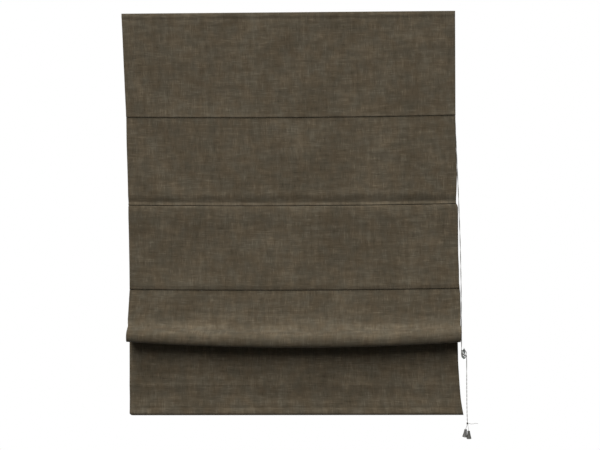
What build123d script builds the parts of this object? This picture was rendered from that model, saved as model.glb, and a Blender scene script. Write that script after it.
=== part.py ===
from build123d import *
import math
import os

os.makedirs("parts", exist_ok=True)

# A cord-operated roman blind, hung from a wall. The wall is the plane y = 0, the room is at -Y,
# X runs along the head rail and Z is up. The origin is midway between the two wall screw holes.

# Clip brackets, bent from steel strip
bracket_inset = 220.0
bracket_width = 28.0
bracket_plate = 1.2
bracket_foot_drop = 13.0
bracket_bend = 0.9
bracket_corner = 4.5
bracket_tongue_width = 12.0
screw_hole_radius = 2.4
rail_play = 0.3

# Head rail, an aluminium extrusion open along its floor
rail_length = 1200.0
rail_depth = 25.0
rail_height = 30.0
rail_wall = 1.5
rail_slot = 12.0
clip_groove_depth = 2.5
clip_groove_height = 2.6

# Rail end caps
cap_plate = 1.5
cap_plug = 4.0
cap_play = 0.25
cap_corner = 0.8

# Hook and loop tapes
tape_height = 20.0
tape_inset = 4.0
hook_thickness = 1.5
loop_thickness = 1.2

# Cloth
cloth_overhang = 3.0
cloth_drop = 1461.5
cloth_thickness = 0.9
cloth_rise = 2.0
cloth_lean = 21.0
top_hem = 26.0
top_panel = 377.5
second_panel = 320.0
third_panel = 306.0
seam_sag = 5.0
seam_nip = 1.2
neck_root_share = 0.5
lip_out = 2.6
lip_drop = 7.0
lip_rise = 24.0
lip_radius = 4.0

# Folded panel, which bellies out in front of the skirt
fold_drop = 185.0
fold_sag = 18.0
fold_reach = 62.0
fold_rise = 100.0
fold_top_radius = 120.0
fold_front_radius = 26.0
fold_under_radius = 16.0
fold_back_radius = 45.0
fold_start_drop_share = 0.42
fold_start_reach_share = 0.1
fold_front_rise_share = 0.17
fold_under_reach_share = 0.8
fold_back_reach_share = 0.38
fold_back_lift_share = 0.03
fold_return_reach_share = 0.16
fold_return_rise_share = 0.72

# Stiffening rods and the pockets that hold them
rod_radius = 2.0
rod_inset = 22.0
pocket_play = 0.3

# Hem bar with its caps
bar_height = 25.0
bar_thickness = 3.0
bar_inset = 16.0
bar_cap_wall = 1.0
bar_cap_length = 12.0
bar_play = 0.3

# Lift lines, rings and orbs
lift_inset = 130.0
ring_hole_radius = 3.2
ring_wire_radius = 0.9
ring_seat = 0.1
orb_radius = 5.5
orb_seat = 0.15
orb_flat_share = 0.86

# Cords
cord_radius = 0.8
cord_spacing = 2.6
cord_play = 0.25
cord_outlet_drop = 0.6
knot_radius = 1.9
knot_play = 0.25

# Pulleys, all of one pattern
pulley_width = 8.0
pulley_groove_radius = 5.0
pulley_flange_radius = 6.7
pulley_rim = 1.2
pulley_rib = 0.5
pulley_bevel = 0.8
pulley_side_play = 0.4
pulley_axis_rise = 10.5
pin_radius = 1.5
pin_running_play = 0.05
pin_press_play = 0.02

# Cord guides
guide_length = 30.0
guide_base = 2.5
cheek_thickness = 2.6
cheek_radius = 4.6
nose_length = 11.0
nose_drop = 1.2
eye_play = 1.0
slot_play = 0.3

# Cord lock
lock_tail = 34.0
lock_end = 4.6
lock_gap = 0.5
lock_anvil_length = 7.0
lock_anvil_play = 0.5
pawl_width = 6.4
pawl_offset = 18.6
pawl_pivot_drop = 2.5
pawl_hub_radius = 3.3
pawl_reach = 7.2
pawl_grip_play = 0.3
pawl_tooth = 0.7
pawl_tooth_count = 3
pawl_nose_width = 4.2
pawl_tail_length = 11.0
pawl_tail_height = 5.0
pawl_tail_sink = 1.0

# Cord cleat, moulded in clear plastic
cleat_offset = 30.8
cleat_z = -1226.0
cleat_base_height = 34.0
cleat_base_width = 14.0
cleat_base_thickness = 3.0
cleat_stem_height = 19.0
cleat_stem_width = 9.0
cleat_horn_gap = 12.0
cleat_horn_span = 48.0
cleat_horn_width = 8.6
cleat_horn_thickness = 6.0
cleat_horn_tip = 2.4
cleat_horn_lift = 2.2
cleat_edge = 0.8
cleat_hole_radius = 1.8
cleat_hole_spacing = 9.6
cleat_head_radius = 3.3
cleat_head_floor = 7.0

# Tie knot, tassel cords and tassels
tie_radius = 3.4
tie_height = 8.0
tie_round = 1.2
tassel_height = 29.0
tassel_top_radius = 4.6
tassel_rim_radius = 8.9
tassel_wall = 1.3
tassel_crown = 7.5
tassel_round = 1.5
tassel_hole_play = 0.45
tassel_waist_share = 0.45
tassel_waist_radius_share = 0.3
arc_middle_share = math.sqrt(0.5)
tassel_left_top = (639.6, -11.0, -1497.5)
tassel_left_tilt = 8.0
tassel_right_top = (648.0, -24.5, -1500.6)
tassel_right_tilt = -2.5

# Routes of the free cords, chosen by hand: lock to cleat, round the cleat and down to the tie
pull_route = [
    (590.9, -14.0, -16.8),
    (590.9, -14.0, -28.8),
    (616.5, -11.0, -620.0),
    (625.5, -8.6, -900.0),
    (626.3, -7.0, -1199.0),
    (625.9, -6.4, -1221.0),
    (626.7, -6.2, -1232.4),
    (630.3, -6.2, -1239.2),
    (636.7, -6.4, -1240.2),
    (640.9, -8.2, -1236.4),
    (641.9, -13.4, -1231.8),
    (641.5, -20.2, -1228.8),
    (637.3, -25.6, -1226.9),
    (630.3, -25.6, -1225.1),
    (626.1, -20.2, -1222.8),
    (625.7, -13.8, -1218.8),
    (627.9, -11.6, -1213.4),
    (633.7, -11.2, -1210.4),
    (639.6, -11.6, -1212.2),
    (643.0, -12.0, -1218.4),
    (644.0, -12.0, -1231.0),
    (643.6, -12.0, -1440.0),
    (645.6, -12.0, -1473.0),
]
tail_route = [
    (648.0, -12.0, -1477.0),
    (652.9, -12.6, -1477.0),
    (660.4, -13.4, -1478.8),
    (668.4, -13.6, -1477.4),
    (675.9, -13.2, -1475.8),
    (682.9, -12.6, -1477.6),
]
tassel_cord_left_route = [
    (644.2, -11.6, -1481.0),
    (644.2, -11.6, -1485.5),
    (641.8, -11.2, -1490.0),
]
tassel_cord_right_route = [
    (646.8, -13.2, -1481.0),
    (646.8, -13.2, -1484.5),
    (647.4, -17.4, -1489.0),
    (647.9, -23.4, -1493.5),
]
arc_share = 0.45

cut_overrun = 5.0

# Places that follow from the sizes
rail_back = -(bracket_plate + rail_play)
rail_front = rail_back - rail_depth
rail_mid = rail_back - rail_depth / 2
rail_top = rail_height / 2
rail_bottom = -rail_height / 2
rail_floor = rail_bottom + rail_wall
rail_shoulder = rail_top - rail_wall - clip_groove_height
bracket_top = rail_top + rail_play + bracket_plate
bracket_x = rail_length / 2 - bracket_inset

cloth_width = rail_length + 2 * cloth_overhang
cloth_top = bracket_top + cloth_rise
cloth_hem = cloth_top - cloth_drop
hook_front = rail_front - hook_thickness
loop_front = hook_front - loop_thickness
cloth_y = loop_front - cloth_thickness - cloth_thickness / 2
lean_angle = math.atan2(cloth_lean, cloth_drop)
seam_1 = cloth_top - top_panel
seam_2 = seam_1 - second_panel
seam_3 = seam_2 - third_panel
fold_low = seam_3 - fold_drop
seam_4 = fold_low + fold_rise
seams = [seam_1, seam_2, seam_3, seam_4]

pocket_hole = rod_radius + pocket_play
pocket_radius = pocket_hole + cloth_thickness
ring_mean = ring_hole_radius + ring_wire_radius
ring_reach = ring_mean + ring_wire_radius
pocket_y = rail_mid - ring_reach - ring_seat - pocket_radius

cord_track = pulley_groove_radius + cord_play + cord_radius
axis_z = rail_bottom + pulley_axis_rise + rail_wall
run_z = axis_z + cord_track
outlet_x = rail_length / 2 - cap_plug - lock_gap - lock_end
roller_x = outlet_x - cord_track
outlet_z = rail_bottom - nose_drop - cord_outlet_drop
pawl_x = roller_x - pawl_offset
pawl_z = axis_z - pawl_pivot_drop
bay = pulley_width + 2 * pulley_side_play
inner_depth = rail_depth - 2 * rail_wall - 2 * slot_play

cord_y = {"left": rail_mid - cord_spacing / 2, "right": rail_mid + cord_spacing / 2}
lift_x = {"left": lift_inset - rail_length / 2, "right": rail_length / 2 - lift_inset}
cleat_x = cloth_width / 2 + cleat_offset


def save(node, shape):
    export_step(shape, f"parts/{node}.step")


def block(x0, x1, y0, y1, z0, z1):
    """A box between three pairs of planes."""
    middle = ((x0 + x1) / 2, (y0 + y1) / 2, (z0 + z1) / 2)
    return Pos(*middle) * Box(abs(x1 - x0), abs(y1 - y0), abs(z1 - z0))


def along_x(section, x0, x1):
    """A section drawn in (y, z), drawn out from x0 to x1."""
    return Pos(x0, 0, 0) * extrude(Plane.YZ * section, amount=x1 - x0)


def along_y(section, y_middle, width):
    """A section drawn in (x, z), drawn out to both sides of y_middle."""
    return Pos(0, y_middle, 0) * extrude(Plane.XZ * section, amount=width / 2, both=True)


def pin_y(x, y_middle, z, radius, length):
    """A round pin or hole that lies along Y."""
    return Pos(x, y_middle, z) * Rot(90, 0, 0) * Cylinder(radius, length)


def pin_z(x, y, z0, z1, radius):
    """A round pin or hole that stands along Z."""
    return Pos(x, y, (z0 + z1) / 2) * Cylinder(radius, z1 - z0)


def polygon(points):
    return make_face(Polyline(*points, close=True))


# Head rail
half_depth = rail_depth / 2
neck_half = half_depth - clip_groove_depth
outer_points = [
    (rail_mid - half_depth, rail_bottom),
    (rail_mid + half_depth, rail_bottom),
    (rail_mid + half_depth, rail_shoulder),
    (rail_mid + neck_half, rail_shoulder),
    (rail_mid + neck_half, rail_top - rail_wall),
    (rail_mid + half_depth, rail_top - rail_wall),
    (rail_mid + half_depth, rail_top),
    (rail_mid - half_depth, rail_top),
    (rail_mid - half_depth, rail_top - rail_wall),
    (rail_mid - neck_half, rail_top - rail_wall),
    (rail_mid - neck_half, rail_shoulder),
    (rail_mid - half_depth, rail_shoulder),
]


def channel_points(play):
    """The rail's channel, drawn in by a play on every side."""
    wide = half_depth - rail_wall - play
    narrow = neck_half - rail_wall - play
    return [
        (rail_mid - wide, rail_floor + play),
        (rail_mid + wide, rail_floor + play),
        (rail_mid + wide, rail_shoulder - rail_wall - play),
        (rail_mid + narrow, rail_shoulder - rail_wall - play),
        (rail_mid + narrow, rail_top - rail_wall - play),
        (rail_mid - narrow, rail_top - rail_wall - play),
        (rail_mid - narrow, rail_shoulder - rail_wall - play),
        (rail_mid - wide, rail_shoulder - rail_wall - play),
    ]


rail_end = rail_length / 2
rail = along_x(polygon(outer_points), -rail_end, rail_end)
rail -= along_x(polygon(channel_points(0)), -rail_end - cut_overrun, rail_end + cut_overrun)
rail -= block(
    -rail_end - cut_overrun,
    rail_end + cut_overrun,
    rail_mid - rail_slot / 2,
    rail_mid + rail_slot / 2,
    rail_bottom - cut_overrun,
    rail_floor + cut_overrun,
)
save("head_rail", rail)

# End caps, each a plate the shape of the rail with a plug in the channel
plug_section = polygon(channel_points(cap_play))
for side, sign in (("left", -1), ("right", 1)):
    face = sign * rail_end
    plate = along_x(polygon(outer_points), *sorted((face, face + sign * cap_plate)))
    plate = fillet(plate.edges().filter_by(Axis.X).group_by(Axis.Z)[0], cap_corner)
    plug = along_x(plug_section, *sorted((face, face - sign * cap_plug)))
    save(f"end_cap_{side}", plate + plug)

# Clip brackets: a foot on the wall, an arm over the rail, a front hook and a rear spring tongue
hook_top = rail_top - rail_wall - rail_play
arm_front = rail_front - rail_play - bracket_plate
strip_points = [
    (0, -bracket_foot_drop),
    (0, bracket_top),
    (arm_front, bracket_top),
    (arm_front, hook_top - bracket_plate),
    (rail_front + clip_groove_depth - rail_play, hook_top - bracket_plate),
    (rail_front + clip_groove_depth - rail_play, hook_top),
    (arm_front + bracket_plate, hook_top),
    (arm_front + bracket_plate, bracket_top - bracket_plate),
    (-bracket_plate, bracket_top - bracket_plate),
    (-bracket_plate, -bracket_foot_drop),
]
for side, sign in (("left", -1), ("right", 1)):
    x = sign * bracket_x
    strip = along_x(polygon(strip_points), x - bracket_width / 2, x + bracket_width / 2)
    bends = strip.edges().filter_by(Axis.X)
    outer_bends = bends.filter_by(lambda e: abs(e.center().Z - bracket_top) < bracket_plate / 2)
    strip = fillet(outer_bends, bracket_bend)
    tongue = block(
        x - bracket_tongue_width / 2,
        x + bracket_tongue_width / 2,
        -bracket_plate / 2,
        rail_back - clip_groove_depth + rail_play,
        hook_top - bracket_plate,
        hook_top,
    )
    foot_corners = strip.edges().filter_by(Axis.Y).group_by(Axis.Z)[0]
    strip = fillet(foot_corners, bracket_corner)
    bracket = strip + tongue
    bracket -= pin_y(x, 0, 0, screw_hole_radius, 2 * bracket_plate + cut_overrun)
    bracket -= pin_z(
        x, rail_mid, bracket_top - bracket_plate - cut_overrun, bracket_top + cut_overrun, screw_hole_radius
    )
    save(f"bracket_{side}", bracket)

# Hook tape on the rail's front and loop tape on the cloth's back
tape_top = rail_shoulder - (rail_shoulder - rail_bottom - tape_height) / 2
tape_x = rail_end - tape_inset
save("hook_tape", block(-tape_x, tape_x, hook_front, rail_front, tape_top - tape_height, tape_top))
save("loop_tape", block(-tape_x, tape_x, loop_front, hook_front, tape_top - tape_height, tape_top))


# Cloth: its side profile, drawn at the edges and the middle, and lofted across the width
def lean_at(z):
    """How far the cloth has drifted to the right at a height."""
    return cloth_lean * (cloth_top - z) / cloth_drop


def down(z):
    """A height measured along the leaning edge of the cloth."""
    return (z - cloth_top) / math.cos(lean_angle)


def pocket_point(seam, across):
    """The middle of a pocket, across running from -1 at the left edge to 1 at the right."""
    z = seam - seam_sag * (1 - across**2)
    return (across * cloth_width / 2 + lean_at(z), pocket_y, z)


def seam_lip(z):
    """The points where a panel rolls out above a seam, nips in at it and rolls out below."""
    return [
        (cloth_y, z + lip_rise),
        (cloth_y - lip_out, z + lip_drop),
        (cloth_y + seam_nip, z),
        (cloth_y - lip_out, z - lip_drop),
    ]


def ribbon(points, radii):
    """A strip of cloth along a path of straight runs and arcs."""
    path = FilletPolyline(*[(y, down(z)) for y, z in points], radius=radii)
    return make_face(Wire(path.edges()).offset_2d(cloth_thickness / 2))


def cloth_section(middle_share):
    """The side profile in (y, height), middle_share being 0 at a side edge and 1 at mid width."""
    z1, z2, z3, z4 = [z - seam_sag * middle_share for z in seams]
    low = fold_low - fold_sag * middle_share
    drop = z3 - low
    rise = z4 - low
    points = [(cloth_y, cloth_top - cloth_thickness / 2)]
    points += seam_lip(z1) + [(cloth_y, z1 - lip_rise)]
    points += seam_lip(z2) + [(cloth_y, z2 - lip_rise)]
    points += seam_lip(z3)
    radii = (len(points) - 1) * [lip_radius]
    points += [
        (cloth_y - fold_reach * fold_start_reach_share, z3 - drop * fold_start_drop_share),
        (cloth_y - fold_reach, low + drop * fold_front_rise_share),
        (cloth_y - fold_reach * fold_under_reach_share, low),
        (cloth_y - fold_reach * fold_back_reach_share, low + drop * fold_back_lift_share),
        (cloth_y - fold_reach * fold_return_reach_share, low + rise * fold_return_rise_share),
        (cloth_y + seam_nip, z4),
    ]
    radii += [fold_top_radius, fold_front_radius, fold_under_radius, fold_under_radius, fold_back_radius]
    section = ribbon(points, radii)
    skirt_points = [
        (cloth_y + seam_nip, z4),
        (cloth_y, z4 - lip_rise),
        (cloth_y, cloth_hem + cloth_thickness / 2),
    ]
    section += ribbon(skirt_points, [lip_rise])
    neck_root = cloth_y + seam_nip * neck_root_share
    neck_length = pocket_y - neck_root
    neck_y = neck_root + neck_length / 2
    for z in (z1, z2, z3, z4):
        section += Pos(neck_y, down(z)) * Rectangle(neck_length, 2 * cloth_thickness)
        section += Pos(pocket_y, down(z)) * Circle(pocket_radius)
    turned_y = cloth_y + cloth_thickness / 2
    section += Pos(turned_y, -top_hem / 2) * Rectangle(2 * cloth_thickness, top_hem)
    front = cloth_y - cloth_thickness / 2
    hem_middle = (front + hem_depth / 2, down(cloth_hem) + hem_height / 2)
    section += Pos(*hem_middle) * Rectangle(hem_depth, hem_height)
    return section.face()


hem_room_depth = bar_thickness + 2 * bar_cap_wall + 2 * bar_play
hem_room_height = bar_height + 2 * bar_cap_wall + 2 * bar_play
hem_depth = hem_room_depth + 2 * cloth_thickness
hem_height = hem_room_height + 2 * cloth_thickness
hem_room_y = cloth_y + cloth_thickness / 2 + hem_room_depth / 2
hem_room_z = cloth_hem + cloth_thickness + hem_room_height / 2

lean_normal = (math.cos(lean_angle), 0, math.sin(lean_angle))
stations = []
for across, middle_share in ((-1, 0), (0, 1), (1, 0)):
    plane = Plane((across * cloth_width / 2, 0, cloth_top), x_dir=(0, 1, 0), z_dir=lean_normal)
    stations.append(plane * cloth_section(middle_share))
cloth = loft(stations)


def pocket_tube(seam, radius, across):
    """A round rod or tunnel along a pocket, from edge to edge or to a share of the way."""
    path = Edge.make_three_point_arc(
        pocket_point(seam, -across), pocket_point(seam, 0), pocket_point(seam, across)
    )
    start = Plane(path @ 0, z_dir=path % 0)
    return sweep(start * Circle(radius), path=path)


past_edge = 1 + cut_overrun / cloth_width
for seam in seams:
    cloth -= pocket_tube(seam, pocket_hole, past_edge)
hem_half = cloth_width / 2 + cloth_lean
cloth -= Pos(cloth_lean, hem_room_y, hem_room_z) * Box(2 * hem_half, hem_room_depth, hem_room_height)
save("blind_fabric", cloth)

# Stiffening rods, one in each pocket, bowed by the weight of the cloth
rod_share = 1 - 2 * rod_inset / cloth_width
for number, seam in enumerate(seams, 1):
    save(f"stiffening_rod_{number}", pocket_tube(seam, rod_radius, rod_share))

# Bottom bar in the hem, with a cap pushed over each end
bar_half = cloth_width / 2 - bar_inset
bar = Pos(cloth_lean, hem_room_y, hem_room_z) * Box(2 * bar_half, bar_thickness, bar_height)
save("bottom_bar", bar)
for side, sign in (("left", -1), ("right", 1)):
    end = cloth_lean + sign * bar_half
    sleeve = block(
        end + sign * bar_cap_wall,
        end - sign * bar_cap_length,
        hem_room_y - bar_thickness / 2 - bar_cap_wall,
        hem_room_y + bar_thickness / 2 + bar_cap_wall,
        hem_room_z - bar_height / 2 - bar_cap_wall,
        hem_room_z + bar_height / 2 + bar_cap_wall,
    )
    sleeve = fillet(sleeve.edges().filter_by(Axis.Y), bar_cap_wall)
    room = block(
        end,
        end - sign * (bar_cap_length + cut_overrun),
        hem_room_y - bar_thickness / 2,
        hem_room_y + bar_thickness / 2,
        hem_room_z - bar_height / 2,
        hem_room_z + bar_height / 2,
    )
    save(f"bottom_bar_cap_{side}", sleeve - room)


# Lift rings, sewn to the back of each pocket, with an orb under the lowest
def ring_height(side, seam):
    across = (lift_x[side] - lean_at(seam)) / (cloth_width / 2)
    return pocket_point(seam, across)[2]


orb_drop = math.sqrt((orb_radius + ring_wire_radius + orb_seat) ** 2 - ring_mean**2)
orb_flat = orb_radius * orb_flat_share
orb_z = {side: ring_height(side, seam_4) - orb_drop for side in lift_x}
for side in lift_x:
    x = lift_x[side]
    rings = [
        Pos(x, rail_mid, ring_height(side, seam)) * Torus(ring_mean, ring_wire_radius) for seam in seams
    ]
    save(f"lift_rings_{side}", Compound(rings))
    z = orb_z[side]
    orb = Pos(x, rail_mid, z) * Sphere(orb_radius)
    orb -= block(
        x - orb_radius,
        x + orb_radius,
        rail_mid - orb_radius,
        rail_mid + orb_radius,
        z - orb_flat,
        z - orb_radius - cut_overrun,
    )
    orb -= pin_z(x, cord_y[side], z - orb_radius, z + orb_radius, cord_radius + cord_play)
    orb -= pin_z(x, cord_y[side], z - orb_radius, z, knot_radius + knot_play)
    save(f"cord_orb_{side}", orb)


# Pulleys with two grooves, one for each lift cord
def pulley():
    half = pulley_width / 2
    rim = half - pulley_rim
    points = [
        (pin_radius + pin_running_play, -half),
        (pulley_flange_radius - pulley_bevel, -half),
        (pulley_flange_radius, -half + pulley_bevel),
        (pulley_flange_radius, -rim),
        (pulley_groove_radius, -rim),
        (pulley_groove_radius, -pulley_rib / 2),
        (pulley_flange_radius - pulley_bevel, -pulley_rib / 2),
        (pulley_flange_radius - pulley_bevel, pulley_rib / 2),
        (pulley_groove_radius, pulley_rib / 2),
        (pulley_groove_radius, rim),
        (pulley_flange_radius, rim),
        (pulley_flange_radius, half - pulley_bevel),
        (pulley_flange_radius - pulley_bevel, half),
        (pin_radius + pin_running_play, half),
    ]
    return revolve(polygon(points), axis=Axis.Y)


pin_length = bay + 2 * cheek_thickness


def cheek_pair(section):
    """The two cheeks that stand either side of a pulley bay."""
    offset = bay / 2 + cheek_thickness / 2
    return [along_y(section, rail_mid + way * offset, cheek_thickness) for way in (-1, 1)]


# Cord guides, which sit on the rail's lips above each lift line
nose_width = rail_slot - 2 * slot_play
base_top = rail_floor + guide_base
eye = cord_radius + eye_play
for side in lift_x:
    x = lift_x[side]
    axis_x = x + cord_track
    guide = block(
        axis_x - guide_length / 2,
        axis_x + guide_length / 2,
        rail_mid - inner_depth / 2,
        rail_mid + inner_depth / 2,
        rail_floor,
        base_top,
    )
    guide = fillet(guide.edges().filter_by(Axis.Z), guide_base)
    guide += block(
        x - nose_length / 2,
        x + nose_length / 2,
        rail_mid - nose_width / 2,
        rail_mid + nose_width / 2,
        rail_bottom - nose_drop,
        rail_floor,
    )
    upright = Pos(axis_x, (base_top + axis_z) / 2) * Rectangle(2 * cheek_radius, axis_z - base_top)
    upright += Pos(axis_x, axis_z) * Circle(cheek_radius)
    for cheek in cheek_pair(upright):
        guide += cheek
    guide -= pin_z(x, cord_y[side], rail_bottom - cut_overrun, base_top + cut_overrun, eye)
    guide -= pin_y(axis_x, rail_mid, axis_z, pin_radius + pin_press_play, rail_depth)
    save(f"cord_guide_{side}", guide)
    save(f"guide_pulley_{side}", Pos(axis_x, rail_mid, axis_z) * pulley())
    save(f"guide_pulley_pin_{side}", pin_y(axis_x, rail_mid, axis_z, pin_radius, pin_length))

# Cord lock at the right end of the rail: the cords run over a roller and down through the floor
lock_left = roller_x - lock_tail
lock_right = outlet_x + lock_end
cheek_top = axis_z + cord_track + cord_radius + lock_anvil_play + lock_anvil_length / 2
lock = block(
    lock_left,
    lock_right,
    rail_mid - inner_depth / 2,
    rail_mid + inner_depth / 2,
    rail_floor,
    base_top,
)
lock += block(
    outlet_x - nose_length / 2,
    lock_right,
    rail_mid - nose_width / 2,
    rail_mid + nose_width / 2,
    rail_bottom - nose_drop,
    rail_floor,
)
anvil_z = run_z + cord_radius + lock_anvil_play
grip_x = pawl_x + pawl_reach
cheek_outline = make_face(
    FilletPolyline(
        (pawl_x - pawl_hub_radius - pawl_tail_height, base_top),
        (pawl_x - pawl_hub_radius - pawl_tail_height, pawl_z),
        (grip_x - lock_anvil_length / 2, cheek_top),
        (grip_x + lock_anvil_length / 2, cheek_top),
        (lock_right, axis_z + pulley_groove_radius),
        (lock_right, base_top),
        radius=[cheek_thickness, cheek_thickness, cheek_thickness, cheek_thickness],
    ).edges()
    + [
        Line(
            (lock_right, base_top),
            (pawl_x - pawl_hub_radius - pawl_tail_height, base_top),
        ).edge()
    ]
)
for cheek in cheek_pair(cheek_outline):
    lock += cheek
lock += block(
    grip_x - lock_anvil_length / 2,
    grip_x + lock_anvil_length / 2,
    rail_mid - bay / 2,
    rail_mid + bay / 2,
    anvil_z,
    cheek_top,
)
for y in cord_y.values():
    lock -= pin_z(outlet_x, y, rail_bottom - cut_overrun, base_top + cut_overrun, eye)
lock -= pin_y(roller_x, rail_mid, axis_z, pin_radius + pin_press_play, rail_depth)
lock -= pin_y(pawl_x, rail_mid, pawl_z, pin_radius + pin_press_play, rail_depth)
save("cord_lock_body", lock)
save("cord_lock_roller", Pos(roller_x, rail_mid, axis_z) * pulley())
save("cord_lock_roller_pin", pin_y(roller_x, rail_mid, axis_z, pin_radius, pin_length))
save("cord_lock_pawl_pin", pin_y(pawl_x, rail_mid, pawl_z, pin_radius, pin_length))

# Pawl: a toothed nose that bites the cords from below, kept up by the weight of its tail
grip_z = run_z - cord_radius - pawl_grip_play
nose_points = [(pawl_x, pawl_z + pawl_hub_radius), (pawl_x + pawl_hub_radius, pawl_z)]
nose_points.append((grip_x + pawl_nose_width / 2, grip_z - pawl_tooth))
tooth_pitch = pawl_nose_width / pawl_tooth_count
for tooth in range(pawl_tooth_count):
    right = grip_x + pawl_nose_width / 2 - tooth * tooth_pitch
    nose_points.append((right - tooth_pitch / 2, grip_z))
    nose_points.append((right - tooth_pitch, grip_z - pawl_tooth))
pawl_section = polygon(nose_points)
pawl_section += Pos(pawl_x, pawl_z) * Circle(pawl_hub_radius)
pawl_section += Pos(pawl_x - pawl_tail_length / 2, pawl_z - pawl_tail_sink) * Rectangle(
    pawl_tail_length, pawl_tail_height
)
pawl = along_y(pawl_section, rail_mid, pawl_width)
pawl -= pin_y(pawl_x, rail_mid, pawl_z, pin_radius + pin_running_play, rail_depth)
save("cord_lock_pawl", pawl)


# Cords
def tube(path, radius):
    return sweep(Plane(path @ 0, z_dir=path % 0) * Circle(radius), path=path)


def cord_path(name, route):
    """Straight runs joined by arcs, each as large as its two runs allow."""
    points = [Vector(p) for p in route]
    radii = []
    for before, here, after in zip(points, points[1:], points[2:]):
        turn = math.radians((here - before).get_angle(after - here))
        shorter = min((here - before).length, (after - here).length)
        radii.append(arc_share * shorter / math.tan(turn / 2))
    path = Wire(FilletPolyline(*route, radius=radii).edges())
    print(name, "length", round(path.length, 1), "radii", [round(r, 1) for r in radii])
    return path


for side in lift_x:
    x = lift_x[side]
    y = cord_y[side]
    knot_z = orb_z[side] - knot_radius - knot_play
    route = [(x, y, knot_z), (x, y, run_z), (outlet_x, y, run_z), (outlet_x, y, outlet_z)]
    path = Wire(FilletPolyline(*route, radius=cord_track).edges())
    print("lift_cord", side, "length", round(path.length, 1), "radii", [cord_track, cord_track])
    save(f"lift_cord_{side}", tube(path, cord_radius) + Pos(x, y, knot_z) * Sphere(knot_radius))

# The two cords leave the lock twisted together, as thick as both side by side
pull_path = cord_path("pull_cord", pull_route)
pull_cord = tube(pull_path, 2 * cord_radius)
section_area = math.pi * (2 * cord_radius) ** 2
print("pull_cord volume over section times length", pull_cord.volume / section_area / pull_path.length)
save("pull_cord", pull_cord)

# Tie knot under the end of the twisted pair, with a free tail to one side
tie_top = Vector(pull_route[-1])
barrel = Pos(tie_top.X, tie_top.Y, tie_top.Z - tie_height / 2) * Cylinder(tie_radius, tie_height)
barrel = fillet(barrel.edges().filter_by(GeomType.CIRCLE), tie_round)
save("cord_tie", barrel)
save("cord_tail", tube(cord_path("cord_tail", tail_route), cord_radius))


# Tassels: hollow bells, each on a short cord whose end knot is inside it
def tassel():
    """A bell with its top at the origin and its axis along -Z."""
    waist = tassel_top_radius + (tassel_rim_radius - tassel_top_radius) * tassel_waist_radius_share
    bore = cord_radius + tassel_hole_play
    with BuildSketch(Plane.XZ) as section:
        with BuildLine():
            Line((bore, 0), (tassel_top_radius - tassel_round, 0))
            TangentArc(
                (tassel_top_radius - tassel_round, 0),
                (tassel_top_radius, -tassel_round),
                tangent=(1, 0),
            )
            ThreePointArc(
                (tassel_top_radius, -tassel_round),
                (waist, -tassel_height * tassel_waist_share),
                (tassel_rim_radius, -tassel_height + tassel_round),
            )
            ThreePointArc(
                (tassel_rim_radius, -tassel_height + tassel_round),
                (
                    tassel_rim_radius - tassel_round * (1 - arc_middle_share),
                    -tassel_height + tassel_round * (1 - arc_middle_share),
                ),
                (tassel_rim_radius - tassel_round, -tassel_height),
            )
            Line(
                (tassel_rim_radius - tassel_round, -tassel_height),
                (tassel_rim_radius - tassel_round - tassel_wall, -tassel_height),
            )
            ThreePointArc(
                (tassel_rim_radius - tassel_round - tassel_wall, -tassel_height),
                (waist - tassel_wall, -tassel_height * tassel_waist_share),
                (tassel_top_radius - tassel_wall, -tassel_crown),
            )
            Line((tassel_top_radius - tassel_wall, -tassel_crown), (bore, -tassel_crown))
            Line((bore, -tassel_crown), (bore, 0))
        make_face()
    return revolve(section.sketch, axis=Axis.Z)


for side, top, tilt, route in (
    ("left", tassel_left_top, tassel_left_tilt, tassel_cord_left_route),
    ("right", tassel_right_top, tassel_right_tilt, tassel_cord_right_route),
):
    place = Pos(*top) * Rot(0, tilt, 0)
    save(f"tassel_{side}", place * tassel())
    above = (place * Pos(0, 0, tassel_round)).position
    below = (place * Pos(0, 0, -tassel_crown - knot_radius - knot_play)).position
    path = cord_path(f"tassel_cord_{side}", route + [tuple(above), tuple(below)])
    knot = Pos(*below) * Sphere(knot_radius)
    save(f"tassel_cord_{side}", tube(path, cord_radius) + knot)

# Cord cleat: a flat foot on the wall, a stem, and two horns that the cord is wound on
stem_front = -cleat_base_thickness - cleat_horn_gap
horn_front = stem_front - cleat_horn_thickness
tip = cleat_horn_span / 2
foot_outline = Plane.XZ * SlotOverall(cleat_base_height, cleat_base_width, rotation=90)
foot = extrude(foot_outline, amount=cleat_base_thickness)
foot = fillet(foot.faces().sort_by(Axis.Y)[0].edges(), cleat_edge)
stem_outline = Plane.XZ * SlotOverall(cleat_stem_height, cleat_stem_width, rotation=90)
stem = extrude(stem_outline, amount=-stem_front + cleat_horn_thickness / 2)
horn_side = make_face(
    [
        ThreePointArc(
            (stem_front - cleat_horn_lift, -tip),
            (stem_front, 0),
            (stem_front - cleat_horn_lift, tip),
        ),
        Line((stem_front - cleat_horn_lift, tip), (stem_front - cleat_horn_lift - cleat_horn_tip, tip)),
        ThreePointArc(
            (stem_front - cleat_horn_lift - cleat_horn_tip, tip),
            (horn_front, 0),
            (stem_front - cleat_horn_lift - cleat_horn_tip, -tip),
        ),
        Line((stem_front - cleat_horn_lift - cleat_horn_tip, -tip), (stem_front - cleat_horn_lift, -tip)),
    ]
)
horns = along_x(horn_side, -cleat_horn_width / 2, cleat_horn_width / 2)
horn_front_outline = Plane.XZ * Ellipse(cleat_horn_width / 2, tip)
horns &= extrude(horn_front_outline, amount=-horn_front + cut_overrun)
cleat = foot + stem + horns
for way in (-1, 1):
    z = way * cleat_hole_spacing / 2
    cleat -= pin_y(0, 0, z, cleat_hole_radius, -2 * horn_front + cut_overrun)
    head_length = -horn_front - cleat_head_floor + cut_overrun
    cleat -= pin_y(0, -cleat_head_floor - head_length / 2, z, cleat_head_radius, head_length)
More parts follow.
